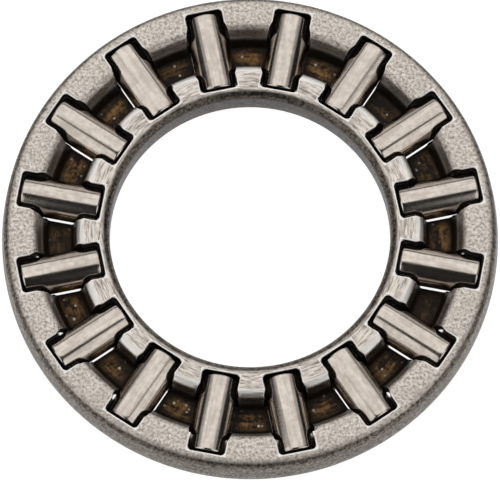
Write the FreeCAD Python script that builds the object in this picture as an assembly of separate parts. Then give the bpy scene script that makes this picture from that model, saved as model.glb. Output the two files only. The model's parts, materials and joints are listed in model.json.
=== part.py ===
# Axial needle roller bearing for a 9/16 inch shaft and a 1 inch housing: one cage pressed from steel
# sheet, and sixteen needle rollers that each spin in a radial pocket of their own.
#
# The frame is in millimetres. The origin is on the bearing's axis, halfway through the rollers.
# +Z runs along the axis, out of the face on which the cage's flat lands lie. +X passes midway
# between two rollers.
import FreeCAD
import Part

import math
import os

Vector = FreeCAD.Vector
AXIS = Vector(0, 0, 1)

# Driving dimensions
ROLLER_COUNT = 16
ROLLER_DIAMETER = 1.984             # 5/64 inch, the bearing's thickness
ROLLER_LENGTH = 4.05
ROLLER_CORNER_RADIUS = 0.12
PITCH_RADIUS = 9.805                # radius of the rollers' middles
CAGE_BORE = 14.31                   # runs on a 9/16 inch shaft, 14.288 mm
CAGE_OUTER_DIAMETER = 25.30         # lies in a 1 inch housing, 25.400 mm
CAGE_HEIGHT = 1.85                  # less than the rollers, so that only they touch the raceways
SHEET = 0.35
POCKET_END_PLAY = 0.13              # at each end of a roller
POCKET_WIDTH = 1.92                 # narrower than a roller, so that the cage keeps it in
POCKET_CORNER = 0.22
RELIEF_WIDTH = 2.18                 # wider than a roller, halfway up the pocket

# Cage section: the outer face of the sheet, before its bends are rounded
LAND_INNER_EDGE = 8.84              # radius at which the inner land turns down into the trough
LAND_OUTER_EDGE = 10.87             # radius at which the trough meets the outer land
TROUGH_FLOOR_INNER = 9.08
TROUGH_FLOOR_OUTER = 10.30
RIM_BAND = 0.475                    # height of the rim's cylindrical band, from its lower edge
RIM_DRAFT = 6.0                     # degrees by which the rim leans in above that band
BORE_BEND = 0.45
LAND_BEND = 0.42
FLOOR_BEND = 0.18
RIM_BEND = 0.50
BAND_BEND = 1.00

# Relief: the length and height over which a pocket's sides stand back from the roller
RELIEF_INNER = 8.40                 # radius at which the sides start to part
RELIEF_OUTER = 11.24                # radius at which they have closed again
RELIEF_TAPER_INNER = 0.30           # length over which they part
RELIEF_TAPER_OUTER = 0.36           # length over which they close
RELIEF_BEND = 0.40
RELIEF_BOTTOM = -0.45               # below this height the pocket is narrow again
RELIEF_FULL = -0.15                 # above this height the relief has its whole width

# Worked out from the driving dimensions
TOP = CAGE_HEIGHT / 2
BOTTOM = -CAGE_HEIGHT / 2
FLOOR = BOTTOM + SHEET
BORE_RADIUS = CAGE_BORE / 2
RIM_RADIUS = CAGE_OUTER_DIAMETER / 2
BAND_TOP = BOTTOM + RIM_BAND
RIM_TOP_RADIUS = RIM_RADIUS - (TOP - BAND_TOP) * math.tan(math.radians(RIM_DRAFT))
ROLLER_RADIUS = ROLLER_DIAMETER / 2
POCKET_LENGTH = ROLLER_LENGTH + 2 * POCKET_END_PLAY
PITCH_ANGLE = 360.0 / ROLLER_COUNT

OVERSHOOT = 0.5                     # how far the cutting tools stand out of the cage


def rounded_edges(points, radii, closed=False):
    """Straight runs through the points in order, with an arc of its radius at each point that has one."""
    count = len(points)
    ends = []
    for i, (point, radius) in enumerate(zip(points, radii)):
        if radius == 0:
            ends.append((point, None, point))
            continue
        before = (point - points[i - 1]).normalize()
        after = (points[(i + 1) % count] - point).normalize()
        half_turn = before.getAngle(after) / 2
        inward = (after - before).normalize()
        reach = radius * math.tan(half_turn)
        middle = point + inward * (radius / math.cos(half_turn) - radius)
        ends.append((point - before * reach, middle, point + after * reach))
    edges = []
    for i, (start, middle, end) in enumerate(ends):
        if middle is not None:
            edges.append(Part.Arc(start, middle, end).toShape())
        if i + 1 < count or closed:
            edges.append(Part.LineSegment(end, ends[(i + 1) % count][0]).toShape())
    return edges


def offset_to_right(points, radii, distance):
    """The same path moved to its right-hand side in the XZ plane, with its bends kept concentric."""
    runs = [(b - a).normalize() for a, b in zip(points, points[1:])]
    sides = [Vector(run.z, 0, -run.x) for run in runs]
    moved = [points[0] + sides[0] * distance]
    new_radii = [0]
    for i in range(1, len(points) - 1):
        before, after = sides[i - 1], sides[i]
        moved.append(points[i] + (before + after) * (distance / (1 + before.dot(after))))
        turns_right = runs[i].dot(before) > 0
        new_radii.append(radii[i] - distance if turns_right else radii[i] + distance)
    moved.append(points[-1] + sides[-1] * distance)
    new_radii.append(0)
    return moved, new_radii


def section(radius, height):
    """A point of the cage's section."""
    return Vector(radius, 0, height)


def cage_ring():
    """The pressed ring before its pockets are punched: collar, inner land, trough, outer land and rim."""
    path = [
        (section(BORE_RADIUS, BOTTOM), 0),
        (section(BORE_RADIUS, TOP), BORE_BEND),
        (section(LAND_INNER_EDGE, TOP), LAND_BEND),
        (section(TROUGH_FLOOR_INNER, FLOOR), FLOOR_BEND),
        (section(TROUGH_FLOOR_OUTER, FLOOR), FLOOR_BEND),
        (section(LAND_OUTER_EDGE, TOP), LAND_BEND),
        (section(RIM_TOP_RADIUS, TOP), RIM_BEND),
        (section(RIM_RADIUS, BAND_TOP), BAND_BEND),
        (section(RIM_RADIUS, BOTTOM), 0),
    ]
    points = [point for point, _ in path]
    radii = [radius for _, radius in path]
    inner_points, inner_radii = offset_to_right(points, radii, SHEET)
    edges = rounded_edges(points, radii)
    edges.append(Part.LineSegment(points[-1], inner_points[-1]).toShape())
    edges += rounded_edges(inner_points[::-1], inner_radii[::-1])
    edges.append(Part.LineSegment(inner_points[0], points[0]).toShape())
    wire = Part.Wire(Part.__sortEdges__(edges))
    return Part.Face(wire).revolve(Vector(), AXIS, 360)


def prism(outline, radii, direction):
    """A closed outline with rounded corners, extruded."""
    return Part.Face(Part.Wire(rounded_edges(outline, radii, closed=True))).extrude(direction)


def window_tool(half_width):
    """The pocket's plain window, with its rounded corners, for a roller that lies along +X."""
    inner = PITCH_RADIUS - POCKET_LENGTH / 2
    outer = PITCH_RADIUS + POCKET_LENGTH / 2
    corners = [(inner, -half_width), (outer, -half_width), (outer, half_width), (inner, half_width)]
    outline = [Vector(x, y, BOTTOM - OVERSHOOT) for x, y in corners]
    return prism(outline, [POCKET_CORNER] * 4, AXIS * (CAGE_HEIGHT + 2 * OVERSHOOT))


def relief_tool(half_width, wide_half):
    """What the relief takes out: its plan seen from above, within its outline seen from the roller's end."""
    side = [
        (RELIEF_INNER, half_width, 0),
        (RELIEF_INNER + RELIEF_TAPER_INNER, wide_half, RELIEF_BEND),
        (RELIEF_OUTER - RELIEF_TAPER_OUTER, wide_half, RELIEF_BEND),
        (RELIEF_OUTER, half_width, 0),
    ]
    low = BOTTOM - OVERSHOOT
    right = [Vector(x, -y, low) for x, y, _ in side]
    left = [Vector(x, y, low) for x, y, _ in side[::-1]]
    bends = [bend for _, _, bend in side]
    from_above = prism(right + left, bends + bends[::-1], AXIS * (CAGE_HEIGHT + 2 * OVERSHOOT))

    top = TOP + OVERSHOOT
    end = [
        (-half_width, RELIEF_BOTTOM),
        (half_width, RELIEF_BOTTOM),
        (wide_half, RELIEF_FULL),
        (wide_half, top),
        (-wide_half, top),
        (-wide_half, RELIEF_FULL),
    ]
    outline = [Vector(RELIEF_INNER, y, z) for y, z in end]
    from_end = prism(outline, [0] * len(end), Vector(RELIEF_OUTER - RELIEF_INNER, 0, 0))
    return from_above.common(from_end)


def roller_angles():
    """The direction of each roller from the axis, in degrees from +X."""
    return [PITCH_ANGLE * (i + 0.5) for i in range(ROLLER_COUNT)]


def turned(shape, angle):
    """A copy turned about the bearing's axis."""
    copy = shape.copy()
    copy.rotate(Vector(), AXIS, angle)
    return copy


def cage():
    """The ring with its pockets."""
    half_width = POCKET_WIDTH / 2
    tool = window_tool(half_width).fuse(relief_tool(half_width, RELIEF_WIDTH / 2))
    tools = [turned(tool, angle) for angle in roller_angles()]
    return cage_ring().cut(Part.makeCompound(tools)).removeSplitter()


def roller():
    """One needle roller along +X, a cylinder with flat ends and rounded corners."""
    start = PITCH_RADIUS - ROLLER_LENGTH / 2
    end = PITCH_RADIUS + ROLLER_LENGTH / 2
    corners = [(start, 0), (start, ROLLER_RADIUS), (end, ROLLER_RADIUS), (end, 0)]
    points = [Vector(x, 0, z) for x, z in corners]
    radii = [0, ROLLER_CORNER_RADIUS, ROLLER_CORNER_RADIUS, 0]
    face = Part.Face(Part.Wire(rounded_edges(points, radii, closed=True)))
    return face.revolve(Vector(), Vector(1, 0, 0), 360)


def main():
    os.makedirs("parts", exist_ok=True)
    shapes = {"cage": cage()}
    one_roller = roller()
    for number, angle in enumerate(roller_angles(), start=1):
        shapes[f"roller_{number:02d}"] = turned(one_roller, angle)
    for name, shape in shapes.items():
        solids = shape.Solids
        assert len(solids) == 1 and solids[0].isValid(), name
        solids[0].exportStep(f"parts/{name}.step")


main()
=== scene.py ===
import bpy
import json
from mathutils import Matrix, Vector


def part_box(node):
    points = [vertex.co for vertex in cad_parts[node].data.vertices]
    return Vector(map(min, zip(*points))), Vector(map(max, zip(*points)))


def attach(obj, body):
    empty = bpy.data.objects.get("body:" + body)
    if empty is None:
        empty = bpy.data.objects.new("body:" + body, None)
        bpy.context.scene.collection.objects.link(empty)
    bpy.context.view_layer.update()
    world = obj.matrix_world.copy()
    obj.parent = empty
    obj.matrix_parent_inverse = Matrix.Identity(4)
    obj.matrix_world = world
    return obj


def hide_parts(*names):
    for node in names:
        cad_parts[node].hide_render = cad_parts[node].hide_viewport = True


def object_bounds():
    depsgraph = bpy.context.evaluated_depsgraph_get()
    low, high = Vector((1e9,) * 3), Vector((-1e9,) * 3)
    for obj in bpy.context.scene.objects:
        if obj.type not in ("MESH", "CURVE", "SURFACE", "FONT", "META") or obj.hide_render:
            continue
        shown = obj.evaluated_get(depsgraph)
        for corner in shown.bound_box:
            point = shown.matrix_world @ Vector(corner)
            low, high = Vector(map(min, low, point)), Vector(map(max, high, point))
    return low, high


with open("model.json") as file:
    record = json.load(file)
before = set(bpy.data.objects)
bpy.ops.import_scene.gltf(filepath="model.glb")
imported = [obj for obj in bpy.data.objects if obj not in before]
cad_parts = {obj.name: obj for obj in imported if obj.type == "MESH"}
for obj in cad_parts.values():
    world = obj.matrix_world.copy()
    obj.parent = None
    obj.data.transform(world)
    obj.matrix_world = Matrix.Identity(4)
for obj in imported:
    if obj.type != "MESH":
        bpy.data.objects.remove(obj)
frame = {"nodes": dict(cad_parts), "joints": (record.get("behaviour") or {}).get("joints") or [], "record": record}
CAD_BOX = [list(corner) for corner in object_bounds()]

import json
import math

import bmesh
import bpy
from mathutils import Vector

bl_info = {
    "name": "Axial Needle Bearing",
    "version": (1, 0, 0),
    "blender": (4, 5, 0),
    "location": "View3D > Sidebar > Bearing",
    "description": "Builds a pressed cage with needle rollers, and a plain studio around it",
    "category": "Add Mesh",
}

MM = 0.001
TAU = 2 * math.pi

WELD = 0.0005 * MM           # points of a spun shell nearer than this are one
PUNCH_WELD = 0.012 * MM      # the same along the punched edges
NEAR = 0.001 * MM            # places that differ by less are the same
OVERSHOOT = 0.5 * MM         # how far the punches reach past the sheet
SPIN_STEPS = 256             # faces round the cage
ROLLER_SIDES = 96            # faces round a roller

CAMERA_TILT = math.radians(17.42)      # away from looking straight down the axis
CAMERA_TURN = math.radians(-0.46)
CAMERA_DISTANCE = 364.5 * MM           # from the middle of the lands
CAMERA_LENS = 516.4
CAMERA_SHIFT = -0.0234


# What the frame says

def mount(name):
    """The frame's mount of that name."""
    return next(m for m in frame["record"]["mounts"] if m["name"] == name)


CAGE_LOW, CAGE_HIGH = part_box("cage")
ROLLERS = [joint["child"] for joint in frame["joints"]]
SPIN_AXES = {joint["child"]: Vector(joint["axis"]) for joint in frame["joints"]}
PITCH_RADIUS = Vector(frame["joints"][0]["pos_m"]).length
ROLLER_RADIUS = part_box(ROLLERS[0])[1].z


def reach_along(node, axis):
    """How far a node reaches along an axis, from its lowest to its highest point."""
    reaches = [vertex.co.dot(axis) for vertex in frame["nodes"][node].data.vertices]
    return min(reaches), max(reaches)


ROLLER_REACH = reach_along(ROLLERS[0], SPIN_AXES[ROLLERS[0]])


# Working in the mesh editor

def only(piece):
    """Selects that piece alone."""
    bpy.ops.object.select_all(action="DESELECT")
    piece.select_set(True)
    bpy.context.view_layer.objects.active = piece


def edit():
    """Goes into edit mode with nothing selected."""
    bpy.ops.object.mode_set(mode="EDIT")
    bpy.ops.mesh.select_all(action="DESELECT")


def done():
    """Comes back to object mode."""
    bpy.ops.object.mode_set(mode="OBJECT")


def pick(piece, kind, wanted):
    """In edit mode, selects the vertices, edges or faces for which wanted is true."""
    bpy.ops.mesh.select_mode(type={"verts": "VERT", "edges": "EDGE", "faces": "FACE"}[kind])
    bpy.ops.mesh.select_all(action="DESELECT")
    mesh = bmesh.from_edit_mesh(piece.data)
    for element in getattr(mesh, kind):
        if wanted(element):
            element.select_set(True)
    mesh.select_flush_mode()
    bmesh.update_edit_mesh(piece.data)


def draw_wire(name, points):
    """A closed wire, drawn by extruding a vertex from point to point. It stays in edit mode."""
    bpy.ops.object.select_all(action="DESELECT")
    bpy.ops.mesh.primitive_plane_add(size=MM)
    piece = bpy.context.object
    piece.name = piece.data.name = name
    bpy.ops.object.mode_set(mode="EDIT")
    bpy.ops.mesh.select_mode(type="VERT")
    bpy.ops.mesh.select_all(action="SELECT")
    bpy.ops.mesh.merge(type="CENTER")
    bpy.ops.transform.translate(value=points[0])
    for before, after in zip(points, points[1:]):
        bpy.ops.mesh.extrude_vertices_move(TRANSFORM_OT_translate={"value": after - before})
    pick(piece, "verts", lambda vertex: len(vertex.link_edges) == 1)
    bpy.ops.mesh.edge_face_add()
    return piece


def spun(piece, axis, steps):
    """Turns the wire in edit mode a whole turn about an axis through the origin, into a closed shell."""
    bpy.ops.mesh.select_all(action="SELECT")
    bpy.ops.mesh.spin(steps=steps, angle=TAU, center=(0, 0, 0), axis=axis)
    bpy.ops.mesh.select_all(action="SELECT")
    bpy.ops.mesh.remove_doubles(threshold=WELD)
    bpy.ops.mesh.normals_make_consistent(inside=False)
    done()
    return piece


def raised(piece, height):
    """Fills the wire in edit mode and extrudes it upwards into a closed prism."""
    bpy.ops.mesh.select_all(action="SELECT")
    bpy.ops.mesh.edge_face_add()
    bpy.ops.mesh.extrude_region_move(TRANSFORM_OT_translate={"value": (0, 0, height)})
    bpy.ops.mesh.select_all(action="SELECT")
    bpy.ops.mesh.normals_make_consistent(inside=False)
    done()
    return piece


def copies_around(piece, angles):
    """One copy of the piece turned about Z to each angle, all joined into one."""
    made = []
    for angle in angles:
        only(piece)
        bpy.ops.object.duplicate()
        copy = bpy.context.object
        copy.rotation_euler.z = angle
        bpy.ops.object.transform_apply(location=False, rotation=True, scale=False)
        made.append(copy)
    bpy.data.objects.remove(piece)
    bpy.ops.object.select_all(action="DESELECT")
    for copy in made:
        copy.select_set(True)
    bpy.context.view_layer.objects.active = made[0]
    bpy.ops.object.join()
    return bpy.context.object


def cut(piece, cutter):
    """Takes the cutter out of the piece."""
    only(piece)
    bpy.ops.object.modifier_add(type="BOOLEAN")
    modifier = piece.modifiers[-1]
    modifier.operation = "DIFFERENCE"
    modifier.solver = "EXACT"
    modifier.object = cutter
    bpy.ops.object.modifier_apply(modifier=modifier.name)
    bpy.data.objects.remove(cutter)


def smooth(piece, degrees):
    """Smooth shading up to that angle between faces."""
    only(piece)
    bpy.ops.object.shade_smooth_by_angle(angle=math.radians(degrees))


# Outlines with rounded corners, as lists of (point, radius) in a plane

def rounded(corners, step=math.radians(12)):
    """A closed outline's points, with an arc of its radius at each corner that has one."""
    points = []
    for i, (corner, radius) in enumerate(corners):
        before = (corner - corners[i - 1][0]).normalized()
        after = (corners[(i + 1) % len(corners)][0] - corner).normalized()
        turn = before.angle(after)
        if radius == 0 or turn < 1e-6:
            points.append(corner)
            continue
        centre = corner + (after - before).normalized() * (radius / math.cos(turn / 2))
        start = corner - before * radius * math.tan(turn / 2) - centre
        normal = start.cross(before).normalized()
        aside = normal.cross(start)
        steps = max(2, round(turn / step))
        for j in range(steps + 1):
            a = turn * j / steps
            points.append(centre + start * math.cos(a) + aside * math.sin(a))
    return points


def other_side(corners, distance):
    """An open path's corners moved to its right-hand side in the XZ plane, with its bends kept concentric."""
    points = [corner for corner, _ in corners]
    runs = [(b - a).normalized() for a, b in zip(points, points[1:])]
    sides = [Vector((run.z, 0, -run.x)) for run in runs]
    moved = [(points[0] + sides[0] * distance, 0)]
    for i in range(1, len(points) - 1):
        before, after = sides[i - 1], sides[i]
        corner = points[i] + (before + after) * (distance / (1 + before.dot(after)))
        turn = -distance if runs[i].dot(before) > 0 else distance
        moved.append((corner, corners[i][1] + turn))
    moved.append((points[-1] + sides[-1] * distance, 0))
    return moved


def length_property(name, description, size):
    """A length that a user may change, with its default in millimetres."""
    return bpy.props.FloatProperty(
        name=name, description=description, default=size * MM, subtype="DISTANCE", unit="LENGTH")


def colour_property(name, description, default):
    """A colour that a user may change."""
    return bpy.props.FloatVectorProperty(
        name=name, description=description, subtype="COLOR", size=3, min=0, max=1, default=default)


class BearingCageSizes(bpy.types.PropertyGroup):
    """Sizes of the pressed cage"""
    bore_radius: length_property("Bore radius", "Inside radius of the collar", mount("bore")["dims"]["r_mm"])
    rim_radius: length_property("Rim radius", "Outside radius of the rim", CAGE_HIGH.x / MM)
    sheet: length_property("Sheet", "Thickness of the pressed sheet", 0.35)
    collar_bend: length_property("Collar bend", "Bend between the collar and the inner land", 0.45)
    inner_land_edge: length_property("Inner land", "Radius where the inner land ends", 8.84)
    floor_start: length_property("Floor start", "Radius where the trough's floor starts", 9.08)
    floor_end: length_property("Floor end", "Radius where the trough's floor ends", 10.30)
    outer_land_edge: length_property("Outer land", "Radius where the outer land starts", 10.87)
    land_bend: length_property("Land bend", "Bends between the lands and the trough", 0.42)
    floor_bend: length_property("Floor bend", "Bends at the trough's floor", 0.18)
    rim_bend: length_property("Rim bend", "Bend between the outer land and the rim", 0.50)
    rim_band: length_property("Rim band", "Height of the rim's upright band", 0.475)
    band_bend: length_property("Band bend", "Bend between the band and the wall that leans in above it", 1.00)
    rim_lean: bpy.props.FloatProperty(
        name="Rim lean", description="How far the rim's wall leans in above the band",
        default=math.radians(6), subtype="ANGLE", unit="ROTATION")
    lip: length_property("Lip", "Round of the sheet's lower edges", 0.07)
    pocket_length: length_property("Pocket length", "Length of a pocket along its roller", 4.31)
    pocket_width: length_property("Pocket width", "Width of a pocket", 1.92)
    pocket_corner: length_property("Pocket corner", "Radius of a pocket's corners", 0.22)
    relief_width: length_property("Relief width", "Width of a pocket where it widens across the trough", 2.18)
    relief_start: length_property("Relief start", "Radius where a pocket starts to widen", 8.40)
    relief_full: length_property("Relief full", "Radius where a pocket has widened", 8.70)
    relief_fade: length_property("Relief fade", "Radius where a pocket starts to narrow again", 10.88)
    relief_end: length_property("Relief end", "Radius where a pocket has narrowed again", 11.24)
    relief_bend: length_property("Relief bend", "Bends where the widening is full", 0.40)
    relief_depth: length_property("Relief depth", "Reach of the widening below the rollers' middle", 0.30)
    burnish: length_property("Burnish", "Width of the burnished bevel on the pockets' edges", 0.03)


def cage_section(s):
    """The corners of the cage's outer face, from the collar's lower edge to the rim's."""
    top, bottom = CAGE_HIGH.z, CAGE_LOW.z
    floor = bottom + s.sheet
    band_top = bottom + s.rim_band
    lean = (top - band_top) * math.tan(s.rim_lean)
    path = [
        (s.bore_radius, bottom, 0),
        (s.bore_radius, top, s.collar_bend),
        (s.inner_land_edge, top, s.land_bend),
        (s.floor_start, floor, s.floor_bend),
        (s.floor_end, floor, s.floor_bend),
        (s.outer_land_edge, top, s.land_bend),
        (s.rim_radius - lean, top, s.rim_bend),
        (s.rim_radius, band_top, s.band_bend),
        (s.rim_radius, bottom, 0),
    ]
    return [(Vector((x, 0, z)), radius) for x, z, radius in path]


def off_outline(corners, x, z):
    """Distance from a point of the section to the path through the corners."""
    point = Vector((x, 0, z))
    nearest = math.inf
    for (a, _), (b, _) in zip(corners, corners[1:]):
        along = min(1, max(0, (point - a).dot(b - a) / (b - a).length_squared))
        nearest = min(nearest, (a + (b - a) * along - point).length)
    return nearest


# Materials

def new_material(name):
    """An empty node material and its shader."""
    material = bpy.data.materials.new(name)
    material.use_nodes = True
    return material, material.node_tree.nodes["Principled BSDF"]


def node(material, kind, inputs=(), **settings):
    """Adds a node, links or sets its inputs, and returns it."""
    tree = material.node_tree
    made = tree.nodes.new(kind)
    for name, value in settings.items():
        setattr(made, name, value)
    for socket, value in dict(inputs).items():
        if isinstance(value, bpy.types.NodeSocket):
            tree.links.new(value, made.inputs[socket])
        else:
            made.inputs[socket].default_value = value
    return made


def stretched(material, vector, scales):
    """A vector with each part multiplied by its scale."""
    return node(material, "ShaderNodeVectorMath", {0: vector, 1: scales}, operation="MULTIPLY").outputs[0]


def millimetres(material):
    """The piece's own coordinates in millimetres."""
    place = node(material, "ShaderNodeTexCoord").outputs["Object"]
    return stretched(material, place, (1 / MM, 1 / MM, 1 / MM))


def noise(material, vector, scale, detail=2.0, roughness=0.5):
    """Noise of that many features a millimetre."""
    inputs = {"Vector": vector, "Scale": scale, "Detail": detail, "Roughness": roughness}
    return node(material, "ShaderNodeTexNoise", inputs).outputs["Fac"]


def between(material, value, low, high, start=0.0, end=1.0):
    """Start where the value is below low, end where it is above high, and smooth in between."""
    inputs = {"Value": value, "From Min": low, "From Max": high, "To Min": start, "To Max": end}
    return node(material, "ShaderNodeMapRange", inputs, interpolation_type="SMOOTHSTEP").outputs["Result"]


def math_node(material, operation, a, b=0.0, c=0.0):
    """One step of arithmetic."""
    return node(material, "ShaderNodeMath", {0: a, 1: b, 2: c}, operation=operation).outputs[0]


def mixed(material, factor, a, b):
    """Colour a where the factor is 0, colour b where it is 1."""
    return node(material, "ShaderNodeMix", {"Factor": factor, 6: a, 7: b}, data_type="RGBA").outputs[2]


def bumped(material, shader, height, distance, strength=1.0):
    """Gives the shader a relief of that depth in metres."""
    inputs = {"Height": height, "Distance": distance, "Strength": strength}
    bump = node(material, "ShaderNodeBump", inputs)
    material.node_tree.links.new(bump.outputs["Normal"], shader.inputs["Normal"])


def feed(material, output, shader, socket):
    """Links an output to a socket of the shader."""
    material.node_tree.links.new(output, shader.inputs[socket])


def ring(material, radius, start, full, fade, end):
    """A ring about the axis: 1 from radius full to fade, 0 inside start and outside end."""
    return math_node(
        material, "MULTIPLY", between(material, radius, start, full), between(material, radius, end, fade))


def ring_coordinates(material, place):
    """The distance from the axis, the height, and a vector that is stretched along circles about the axis."""
    around, across = 11.0, 10.0
    flat = stretched(material, place, (1, 1, 0))
    radius = node(material, "ShaderNodeVectorMath", {0: flat}, operation="LENGTH").outputs["Value"]
    height = node(material, "ShaderNodeSeparateXYZ", {0: place}).outputs["Z"]
    way = node(material, "ShaderNodeVectorMath", {0: flat}, operation="NORMALIZE").outputs[0]
    parts = node(material, "ShaderNodeSeparateXYZ", {0: way})
    circles = node(material, "ShaderNodeCombineXYZ", {
        "X": math_node(material, "MULTIPLY", parts.outputs["X"], around),
        "Y": math_node(material, "MULTIPLY", parts.outputs["Y"], around),
        "Z": math_node(material, "MULTIPLY", radius, across)}).outputs[0]
    return radius, height, circles


def pocket_distance(material, place, radius, s):
    """How far a point lies outside the nearest pocket, and how far past the pocket's side, in millimetres."""
    half_spacing = math.pi / len(ROLLERS)
    parts = node(material, "ShaderNodeSeparateXYZ", {0: place})
    angle = math_node(material, "ARCTAN2", parts.outputs["Y"], parts.outputs["X"])
    folded = math_node(material, "PINGPONG", angle, half_spacing)
    off_axis = math_node(material, "SUBTRACT", half_spacing, folded)
    along = math_node(material, "MULTIPLY", radius, math_node(material, "COSINE", off_axis))
    across = math_node(material, "MULTIPLY", radius, math_node(material, "SINE", off_axis))
    from_middle = math_node(material, "ABSOLUTE", math_node(material, "SUBTRACT", along, PITCH_RADIUS / MM))
    past_end = math_node(material, "SUBTRACT", from_middle, s.pocket_length / MM / 2)
    across = math_node(material, "ABSOLUTE", across)
    past_side = math_node(material, "SUBTRACT", across, s.pocket_width / MM / 2)
    return math_node(material, "MAXIMUM", past_end, past_side), past_side


def trough_shade_and_grease(material, colours, place, radius, circles, floor, from_side):
    """The colour of the trough's floor: near-black painted shade, with golden residue and specks in the middle of
    some gaps.
    """
    floor_start, floor_end = floor
    middle = ring(material, radius, floor_start - 0.08, floor_start + 0.52, floor_end - 0.5, floor_end + 0.05)
    middle = math_node(material, "MULTIPLY", middle, between(material, from_side, 0.0, 0.6))
    along_rings = noise(material, circles, 0.34, 4.0, 0.75)
    lumps = noise(material, place, 2.8, 4.0, 0.8)
    streaks = math_node(material, "ADD", along_rings, lumps)
    smear = math_node(material, "MULTIPLY", between(material, streaks, 0.86, 1.22), middle)
    some_gaps = between(material, noise(material, place, 0.35, 2.0), 0.36, 0.60, 0.25, 1.0)
    smear = math_node(material, "MULTIPLY", smear, some_gaps)
    # Painted shade, with golden residue smeared over it.
    residue = mixed(material, smear, (*colours.painted_shade_black, 1), (*colours.residue, 1))
    spots = node(material, "ShaderNodeTexVoronoi", {"Vector": place, "Scale": 2.2}).outputs["Distance"]
    speck = math_node(material, "MULTIPLY", between(material, spots, 0.20, 0.12), middle)
    return mixed(material, speck, residue, (*colours.speck, 1))


def pressed_steel(colours, s):
    """Tumbled pressed steel: grainy, with painted shade on its upright walls, the collar's bend and the trough's
    inner slope, painted highlights over wear on the inner land's crest and round the pockets, fine turned rings on
    the inner land, and painted shade in the trough with golden grease in it. Radii and heights are in millimetres."""
    material, shader = new_material("pressed_steel")
    place = millimetres(material)
    radius, height, circles = ring_coordinates(material, place)
    bore, rim = s.bore_radius / MM, s.rim_radius / MM
    inner_edge, outer_edge = s.inner_land_edge / MM, s.outer_land_edge / MM
    floor = (s.floor_start / MM, s.floor_end / MM)

    grain = noise(material, place, 6.5, 4.0, 0.8)
    clouds = noise(material, place, 1.1, 3.0)
    turned = noise(material, circles, 1.0, 3.0, 0.75)
    at_land_height = between(material, height, 0.7, 0.9)
    inside = between(material, radius, inner_edge + 0.06, inner_edge - 0.14)
    on_inner_land = math_node(material, "MULTIPLY", inside, at_land_height)
    relief = node(material, "ShaderNodeMix", {"Factor": on_inner_land, 2: grain, 3: turned}).outputs[0]
    tone = between(material, relief, 0.30, 0.62)
    metal = mixed(material, tone, (*colours.steel_dark, 1), (*colours.steel, 1))
    stained = between(material, clouds, 0.35, 0.75, 0.0, 0.35)
    metal = mixed(material, stained, metal, (*colours.stain, 1))

    # Painted shade: darker copies of the steel's colour for the rim's wall and the collar's bend.
    painted_shade_wall_grain = mixed(material, between(material, grain, 0.40, 0.60), (*colours.wall_dark, 1), (*colours.wall, 1))
    on_rim = math_node(
        material, "MULTIPLY", between(material, radius, rim - 0.50, rim - 0.25),
        between(material, height, 0.92, 0.8))
    metal = mixed(material, on_rim, metal, painted_shade_wall_grain)
    on_collar_bend = math_node(
        material, "MULTIPLY", between(material, radius, bore + 0.695, bore + 0.345),
        between(material, height, 0.935, 0.88))
    metal = mixed(material, on_collar_bend, metal, painted_shade_wall_grain)
    # Painted shade: a near-black copy of the steel's colour for the collar in the bore.
    in_bore = math_node(
        material, "MULTIPLY", between(material, radius, bore + 0.345, bore + 0.145),
        between(material, height, 0.8, 0.55))
    collar = mixed(material, tone, (*colours.bore_dark, 1), (*colours.bore, 1))
    metal = mixed(material, in_bore, metal, collar)
    # Painted shade on the trough's inner slope.
    on_inner_slope = ring(material, radius, inner_edge - 0.12, inner_edge, 9.4, 9.6)
    slope = mixed(material, tone, (*colours.wall_dark, 1), (*colours.steel_dark, 1))
    metal = mixed(material, on_inner_slope, metal, slope)
    # Painted highlight over wear on the inner land's crest, where it bends down into the trough.
    crest_wear_and_highlight = ring(material, radius, 8.3, 8.62, inner_edge - 0.1, inner_edge + 0.02)
    metal = mixed(material, crest_wear_and_highlight, metal, (*colours.crest_wear_and_highlight, 1))

    from_pocket, from_side = pocket_distance(material, place, radius, s)
    # Burnished wear round the pockets, brightened into a painted highlight.
    wear_and_highlight_width = math_node(material, "MULTIPLY_ADD", clouds, 0.10, 0.02)
    wear_and_highlight = math_node(material, "LESS_THAN", from_pocket, wear_and_highlight_width)
    wear_and_highlight = math_node(material, "MULTIPLY", wear_and_highlight, between(material, height, 0.5, 0.7))
    metal = mixed(material, wear_and_highlight, metal, (*colours.edge, 1))

    # Painted shade in the trough, darker towards its bottom, with golden grease and specks in the middle of some
    # gaps.
    in_trough = ring(
        material, radius, inner_edge + 0.02, inner_edge + 0.16, outer_edge - 0.37, outer_edge - 0.12)
    ragged = math_node(material, "MULTIPLY_ADD", grain, -1.6, math_node(material, "ADD", height, 0.8))
    painted_shade_and_grease_mask = math_node(material, "MULTIPLY", in_trough, between(material, ragged, 0.55, 0.05))
    grease = trough_shade_and_grease(material, colours, place, radius, circles, floor, from_side)
    feed(material, mixed(material, painted_shade_and_grease_mask, metal, grease), shader, "Base Color")
    feed(material, between(material, painted_shade_and_grease_mask, 0.0, 1.0, 1.0, 0.1), shader, "Metallic")
    dry = between(material, relief, 0.3, 0.7, 0.46, 0.28)
    roughness = node(material, "ShaderNodeMix", {"Factor": painted_shade_and_grease_mask, 2: dry, 3: 0.45}).outputs[0]
    feed(material, roughness, shader, "Roughness")
    shader.inputs["Specular IOR Level"].default_value = 0.2
    bumped(material, shader, relief, 0.03 * MM)
    return material


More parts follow.
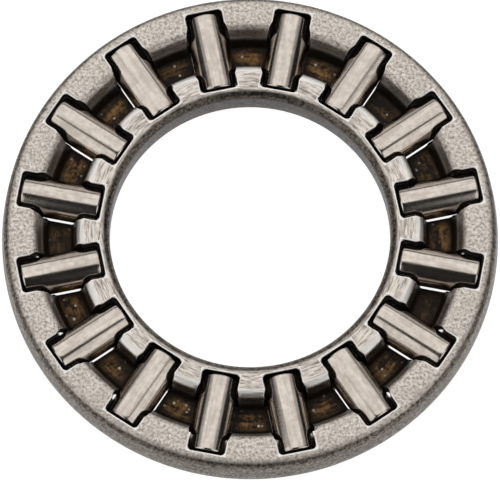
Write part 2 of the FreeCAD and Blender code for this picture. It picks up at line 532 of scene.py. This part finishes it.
def pocket_wall_steel(colours):
    """The punched walls of the pockets and the sheet's inner side: painted shade, near black and mottled."""
    material, shader = new_material("pocket_wall_steel")
    place = millimetres(material)
    shade_mottle = noise(material, place, 3.0, 3.0)
    # Painted shade: two near-black colours, mottled.
    colour = mixed(material, between(material, shade_mottle, 0.35, 0.7), (*colours.pocket, 1), (*colours.painted_shade_black, 1))
    feed(material, colour, shader, "Base Color")
    shader.inputs["Specular IOR Level"].default_value = 0.15
    feed(material, between(material, shade_mottle, 0.3, 0.7, 0.75, 0.55), shader, "Roughness")
    bumped(material, shader, noise(material, place, 12.0, 2.0), 0.004 * MM)
    return material


def edge_burnish_and_painted_light(colours):
    """The burnished edges of the pockets, brightened into a painted highlight, with painted shade low down."""
    material, shader = new_material("burnished_edge")
    place = millimetres(material)
    height = node(material, "ShaderNodeSeparateXYZ", {0: place}).outputs["Z"]
    wear_and_highlight = noise(material, place, 6.0, 2.0)
    # Burnished wear, brightened into a painted highlight.
    bright = mixed(material, between(material, wear_and_highlight, 0.3, 0.7), (*colours.steel, 1), (*colours.edge, 1))
    # Painted shade: low down, the edges take the near-black of the pocket walls.
    colour = mixed(material, between(material, height, 0.3, 0.75), (*colours.pocket, 1), bright)
    feed(material, colour, shader, "Base Color")
    shader.inputs["Metallic"].default_value = 1.0
    feed(material, between(material, wear_and_highlight, 0.3, 0.7, 0.5, 0.4), shader, "Roughness")
    return material


def roller_steel(colours):
    """Ground and polished bearing steel, with fine rings round each roller and faint streaks along it."""
    material, shader = new_material("roller_steel")
    stored = node(material, "ShaderNodeAttribute", attribute_name="lie", attribute_type="GEOMETRY")
    lie = stored.outputs["Vector"]
    rings = noise(material, stretched(material, lie, (22, 1.2, 1.2)), 1.0, 2.0)
    streaks = noise(material, stretched(material, lie, (0.7, 4, 4)), 1.0, 3.0)
    blotch = noise(material, lie, 3.5, 3.0)
    tone = math_node(material, "MULTIPLY_ADD", streaks, 0.6, math_node(material, "MULTIPLY", blotch, 0.4))
    colour = mixed(
        material, between(material, tone, 0.35, 0.68), (*colours.roller_dark, 1), (*colours.roller, 1))
    feed(material, colour, shader, "Base Color")
    shader.inputs["Metallic"].default_value = 1.0
    feed(material, between(material, tone, 0.3, 0.7, 0.20, 0.14), shader, "Roughness")
    # Painted shade: the dark specular tint darkens the rollers' reflections at grazing angles, so their flanks
    # turn dark.
    shader.inputs["Specular Tint"].default_value = (0.05, 0.045, 0.04, 1)
    bumped(material, shader, rings, 0.0012 * MM)
    return material


def table_material():
    """A smooth pale table top that glows evenly, with a painted shadow under the cage's two lands, which stand
    close above it. Its underside is plain.
    """
    material, shader = new_material("pale_table")
    place = millimetres(material)
    cloud = noise(material, place, 0.01, 2.0)
    colour = mixed(material, cloud, (0.33, 0.33, 0.33, 1), (0.36, 0.36, 0.36, 1))
    feed(material, colour, shader, "Base Color")
    shader.inputs["Roughness"].default_value = 0.8
    shader.inputs["Specular IOR Level"].default_value = 0.0
    shader.inputs["Emission Color"].default_value = (1, 1, 1, 1)
    radius = ring_coordinates(material, place)[0]
    # Painted shadow: the table's glow is taken away in two rings under the cage's lands.
    painted_shadow_outer_ring = ring(material, radius, 10.8, 11.0, 12.4, 12.6)
    painted_shadow_inner_ring = ring(material, radius, 7.2, 7.4, 8.9, 9.1)
    painted_shadow_mask = math_node(material, "ADD", painted_shadow_outer_ring, painted_shadow_inner_ring)
    underside = node(material, "ShaderNodeNewGeometry").outputs["Backfacing"]
    painted_shadow_mask = math_node(material, "SUBTRACT", painted_shadow_mask, underside)
    feed(material, between(material, painted_shadow_mask, 0.0, 1.0, 0.92, 0.0), shader, "Emission Strength")
    return material


class BearingColours(bpy.types.PropertyGroup):
    """Colours of the bearing's finishes"""
    steel: colour_property("Pressed steel", "Lighter grain of the lands", (0.92, 0.845, 0.765))
    steel_dark: colour_property("Pressed steel, dark", "Darker grain of the lands", (0.24, 0.20, 0.17))
    stain: colour_property("Stain", "Faint stains on the cage", (0.50, 0.43, 0.37))
    # Crest: a painted highlight over wear.
    crest_wear_and_highlight: colour_property("Crest", "Worn inner edge of the trough", (0.92, 0.89, 0.84))
    # Painted shade: darker copies of the pressed steel, for the rim's wall, the collar's bend and the trough's
    # inner slope.
    wall: colour_property("Rim", "Lighter grain of the rim", (0.21, 0.18, 0.15))
    wall_dark: colour_property("Rim, dark", "Darker grain of the rim", (0.04, 0.033, 0.027))
    # Painted shade: near-black copies of the pressed steel, for the collar in the bore.
    bore: colour_property("Collar", "Lighter grain of the collar", (0.05, 0.04, 0.032))
    bore_dark: colour_property("Collar, dark", "Darker grain of the collar", (0.012, 0.01, 0.008))
    # Near-black painted shade, for the trough and the pocket walls.
    painted_shade_black: colour_property("Oil", "Old oil in the trough", (0.014, 0.009, 0.005))
    residue: colour_property("Residue", "Golden grease in the trough", (0.44, 0.23, 0.075))
    speck: colour_property("Specks", "Bright specks in the grease", (0.85, 0.78, 0.65))
    # Pocket walls: painted shade, near black.
    pocket: colour_property("Pocket walls", "Punched walls of the pockets", (0.008, 0.007, 0.006))
    # Burnished edge: wear, brightened into a painted highlight.
    edge: colour_property("Burnished edge", "Edges of the pockets", (1.0, 0.97, 0.93))
    roller: colour_property("Roller", "Polished rollers", (0.77, 0.695, 0.62))
    roller_dark: colour_property("Roller, dark", "Streaks on the rollers", (0.56, 0.49, 0.43))


def pressed_sheet(s, materials):
    """The whole sheet before it is punched: its outer face in the first slot, its inner side, with painted shade,
    in the second.
    """
    outer = cage_section(s)
    inner = other_side(outer, s.sheet)
    corners = outer + inner[::-1]
    for i in (0, len(outer) - 1, len(outer), len(corners) - 1):
        corners[i] = (corners[i][0], s.lip)
    cage = draw_wire("cage_sheet", rounded(corners))
    spun(cage, (0, 0, 1), SPIN_STEPS)
    for material in materials:
        cage.data.materials.append(material)

    def on_inner_side(face):
        centre = face.calc_center_median()
        return off_outline(outer, centre.xy.length, centre.z) > s.sheet * 0.7

    only(cage)
    edit()
    pick(cage, "faces", on_inner_side)
    # The sheet's inner side takes the second slot's painted shade.
    cage.active_material_index = 1
    bpy.ops.object.material_slot_assign()
    done()
    return cage


def window_punch(s):
    """The punch of one pocket, along +X."""
    low = CAGE_LOW.z - OVERSHOOT
    start, end = PITCH_RADIUS - s.pocket_length / 2, PITCH_RADIUS + s.pocket_length / 2
    half = s.pocket_width / 2
    rectangle = [(start, -half), (end, -half), (end, half), (start, half)]
    corners = [(Vector((x, y, low)), s.pocket_corner) for x, y in rectangle]
    window = draw_wire("window", rounded(corners, math.radians(15)))
    return raised(window, CAGE_HIGH.z - CAGE_LOW.z + 2 * OVERSHOOT)


def relief_punch(s):
    """The punch that widens one pocket across the trough, from above, along +X."""
    low = -s.relief_depth
    narrow, wide = s.pocket_width / 2, s.relief_width / 2
    side = [(s.relief_start, narrow, 0), (s.relief_full, wide, s.relief_bend),
            (s.relief_fade, wide, s.relief_bend), (s.relief_end, narrow, 0)]
    right = [(Vector((x, -y, low)), radius) for x, y, radius in side]
    left = [(Vector((x, y, low)), radius) for x, y, radius in side[::-1]]
    relief = draw_wire("relief", rounded(right + left, math.radians(8)))
    return raised(relief, CAGE_HIGH.z - low + OVERSHOOT)


def burnished(cage, s):
    """Bevels the cage's sharp edges into its third slot."""
    only(cage)
    edit()
    bpy.ops.mesh.select_all(action="SELECT")
    bpy.ops.mesh.remove_doubles(threshold=PUNCH_WELD)
    bpy.ops.mesh.select_all(action="DESELECT")
    bpy.ops.mesh.select_mode(type="EDGE")
    bpy.ops.mesh.edges_select_sharp(sharpness=math.radians(32))
    bpy.ops.mesh.bevel(
        offset=s.burnish, segments=2, profile=0.5, affect="EDGES", clamp_overlap=False, material=2)
    done()


class BEARING_OT_cage(bpy.types.Operator):
    """Builds the pressed cage with its pockets"""
    bl_idname = "bearing.cage"
    bl_label = "Cage"

    def execute(self, context):
        s = context.scene.bearing_cage
        colours = context.scene.bearing_colours
        materials = [pressed_steel(colours, s), pocket_wall_steel(colours), edge_burnish_and_painted_light(colours)]
        cage = pressed_sheet(s, materials)
        angles = [math.atan2(axis.y, axis.x) for axis in SPIN_AXES.values()]
        for punch in (window_punch(s), relief_punch(s)):
            for material in materials:
                punch.data.materials.append(material)
            # The pockets' punched walls take the second slot's painted shade.
            punch.data.polygons.foreach_set("material_index", [1] * len(punch.data.polygons))
            cut(cage, copies_around(punch, angles))
        burnished(cage, s)
        smooth(cage, 40)
        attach(cage, "cage")
        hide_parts("cage")
        return {"FINISHED"}


class BearingRollerSizes(bpy.types.PropertyGroup):
    """Sizes of the needle rollers"""
    radius: length_property("Radius", "Radius of a roller", ROLLER_RADIUS / MM)
    corner: length_property("Corner", "Radius of the round between a roller's side and its ends", 0.12)
    crown: bpy.props.FloatProperty(
        name="Crown", description="Size of a roller next to its ends, as a part of its full radius",
        default=0.995, min=0.9, max=1)
    face_ring: length_property("Face ring", "Flat ring of each end, next to the round", 0.12)
    dish_slope: length_property("Dish slope", "Width of the slope into the dish of each end", 0.30)
    dish: length_property("Dish", "Depth of the dish in each end", 0.02)


def needle(s, half):
    """One needle roller, that far to each side of the origin along X."""
    bpy.ops.object.select_all(action="DESELECT")
    bpy.ops.mesh.primitive_cylinder_add(
        vertices=ROLLER_SIDES, radius=s.radius, depth=2 * half, end_fill_type="NGON",
        rotation=(0, math.pi / 2, 0))
    roller = bpy.context.object
    bpy.ops.object.transform_apply(location=False, rotation=True, scale=False)
    edit()
    pick(roller, "edges", lambda edge: abs(edge.verts[0].co.x - edge.verts[1].co.x) < NEAR)
    bpy.ops.mesh.bevel(offset=s.corner, segments=6, profile=0.5, affect="EDGES")
    straight = half - 2.2 * s.corner
    for x in (-straight, straight):
        bpy.ops.mesh.select_all(action="SELECT")
        bpy.ops.mesh.bisect(plane_co=(x, 0, 0), plane_no=(1, 0, 0))
    pick(roller, "verts", lambda vertex: abs(vertex.co.x) > straight + NEAR)
    bpy.ops.transform.resize(value=(1, s.crown, s.crown), center_override=(0, 0, 0))
    pick(roller, "faces", lambda face: abs(face.normal.x) > 0.99 and len(face.verts) > 20)
    bpy.ops.mesh.inset(thickness=s.face_ring, depth=0)
    bpy.ops.mesh.inset(thickness=s.dish_slope, depth=-s.dish)
    done()
    smooth(roller, 35)
    return roller


def remember_lie(roller, number):
    """Stores where each point lies on the roller, in millimetres, with each roller's streaks its own."""
    shift = Vector((9.0 * number, 0, 0))
    places = [part for vertex in roller.data.vertices for part in (vertex.co / MM + shift)]
    lie = roller.data.attributes.new("lie", "FLOAT_VECTOR", "POINT")
    lie.data.foreach_set("vector", places)


class BEARING_OT_rollers(bpy.types.Operator):
    """Builds one needle roller and lays a copy in each pocket"""
    bl_idname = "bearing.rollers"
    bl_label = "Rollers"

    def execute(self, context):
        s = context.scene.bearing_rollers
        steel = roller_steel(context.scene.bearing_colours)
        start, end = ROLLER_REACH
        half = (end - start) / 2
        middle = (start + end) / 2
        first = needle(s, half)
        first.data.materials.append(steel)
        for number, (body, axis) in enumerate(SPIN_AXES.items()):
            only(first)
            bpy.ops.object.duplicate()
            roller = context.object
            roller.name = roller.data.name = f"needle_{number + 1:02d}"
            remember_lie(roller, number)
            roller.location = axis * middle
            roller.rotation_euler.z = math.atan2(axis.y, axis.x)
            bpy.ops.object.transform_apply(location=True, rotation=True, scale=False)
            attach(roller, body)
            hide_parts(body)
        bpy.data.objects.remove(first)
        return {"FINISHED"}


def softbox(name, azimuth, elevation, distance, size, radiance, shape="RECTANGLE"):
    """A soft light that faces the bearing from that azimuth, counted from +X, and elevation."""
    turn, lift = math.radians(azimuth), math.radians(elevation)
    way = Vector((math.cos(turn) * math.cos(lift), math.sin(turn) * math.cos(lift), math.sin(lift)))
    bpy.ops.object.light_add(type="AREA", location=way * distance)
    light = bpy.context.object
    light.name = light.data.name = name
    light.data.shape = shape
    light.data.size, light.data.size_y = size
    area = size[0] * size[1] * (math.pi / 4 if shape == "ELLIPSE" else 1)
    light.data.energy = radiance * math.pi * area
    light.rotation_euler = way.to_track_quat("Z", "Y").to_euler()
    return light


class BEARING_OT_stage(bpy.types.Operator):
    """Sets up the table, the lights and the camera"""
    bl_idname = "bearing.stage"
    bl_label = "Studio"

    def execute(self, context):
        scene = context.scene
        bpy.ops.object.select_all(action="DESELECT")
        bpy.ops.mesh.primitive_plane_add(size=2)
        floor = context.object
        floor.name = "table"
        edit()
        bpy.ops.mesh.select_all(action="SELECT")
        bpy.ops.transform.translate(value=(0, 0, CAD_BOX[0][2]))
        done()
        floor.data.materials.append(table_material())
        softbox("key", 90, 62, 0.40, (0.62, 0.54), 0.55)
        softbox("wide_key", 90, 62, 0.41, (1.12, 0.56), 0.42)
        softbox("left_fill", 211, 27, 0.45, (0.52, 0.62), 0.90, "ELLIPSE")
        softbox("right_fill", 322, 27, 0.45, (0.42, 0.62), 0.90, "ELLIPSE")
        softbox("back_fill", 88, 8, 0.45, (0.85, 0.19), 0.60)
        world = bpy.data.worlds.new("studio")
        scene.world = world
        world.use_nodes = True
        backdrop = world.node_tree.nodes["Background"]
        backdrop.inputs["Color"].default_value = (1, 1, 1, 1)
        backdrop.inputs["Strength"].default_value = 0.01
        lens = bpy.data.cameras.new("camera")
        camera = bpy.data.objects.new("camera", lens)
        scene.collection.objects.link(camera)
        scene.camera = camera
        lens.sensor_width = 36
        lens.lens = CAMERA_LENS
        lens.clip_start = 10 * MM
        lens.shift_y = CAMERA_SHIFT
        aside = math.sin(CAMERA_TILT)
        away = Vector((aside * math.sin(CAMERA_TURN), -aside * math.cos(CAMERA_TURN), math.cos(CAMERA_TILT)))
        camera.location = away * CAMERA_DISTANCE + Vector((0, 0, CAGE_HIGH.z))
        camera.rotation_euler = (CAMERA_TILT, 0, CAMERA_TURN)
        scene.view_settings.view_transform = "Standard"
        return {"FINISHED"}


class BEARING_PT_panel(bpy.types.Panel):
    """Lists the bearing's pieces"""
    bl_idname = "BEARING_PT_panel"
    bl_label = "Axial Needle Bearing"
    bl_space_type = "VIEW_3D"
    bl_region_type = "UI"
    bl_category = "Bearing"

    def draw(self, context):
        layout = self.layout
        scene = context.scene
        for group in (scene.bearing_cage, scene.bearing_rollers, scene.bearing_colours):
            box = layout.box()
            for name in group.bl_rna.properties.keys():
                if name not in ("rna_type", "name"):
                    box.prop(group, name)
        for operator in (BEARING_OT_cage, BEARING_OT_rollers, BEARING_OT_stage):
            layout.operator(operator.bl_idname)


CLASSES = (
    BearingCageSizes, BearingRollerSizes, BearingColours,
    BEARING_OT_cage, BEARING_OT_rollers, BEARING_OT_stage, BEARING_PT_panel,
)


def register():
    for cls in CLASSES:
        bpy.utils.register_class(cls)
    bpy.types.Scene.bearing_cage = bpy.props.PointerProperty(type=BearingCageSizes)
    bpy.types.Scene.bearing_rollers = bpy.props.PointerProperty(type=BearingRollerSizes)
    bpy.types.Scene.bearing_colours = bpy.props.PointerProperty(type=BearingColours)


def unregister():
    del bpy.types.Scene.bearing_colours
    del bpy.types.Scene.bearing_rollers
    del bpy.types.Scene.bearing_cage
    for cls in reversed(CLASSES):
        bpy.utils.unregister_class(cls)


def main():
    register()
    bpy.ops.bearing.cage()
    bpy.ops.bearing.rollers()
    bpy.ops.bearing.stage()


if __name__ == "__main__":
    main()
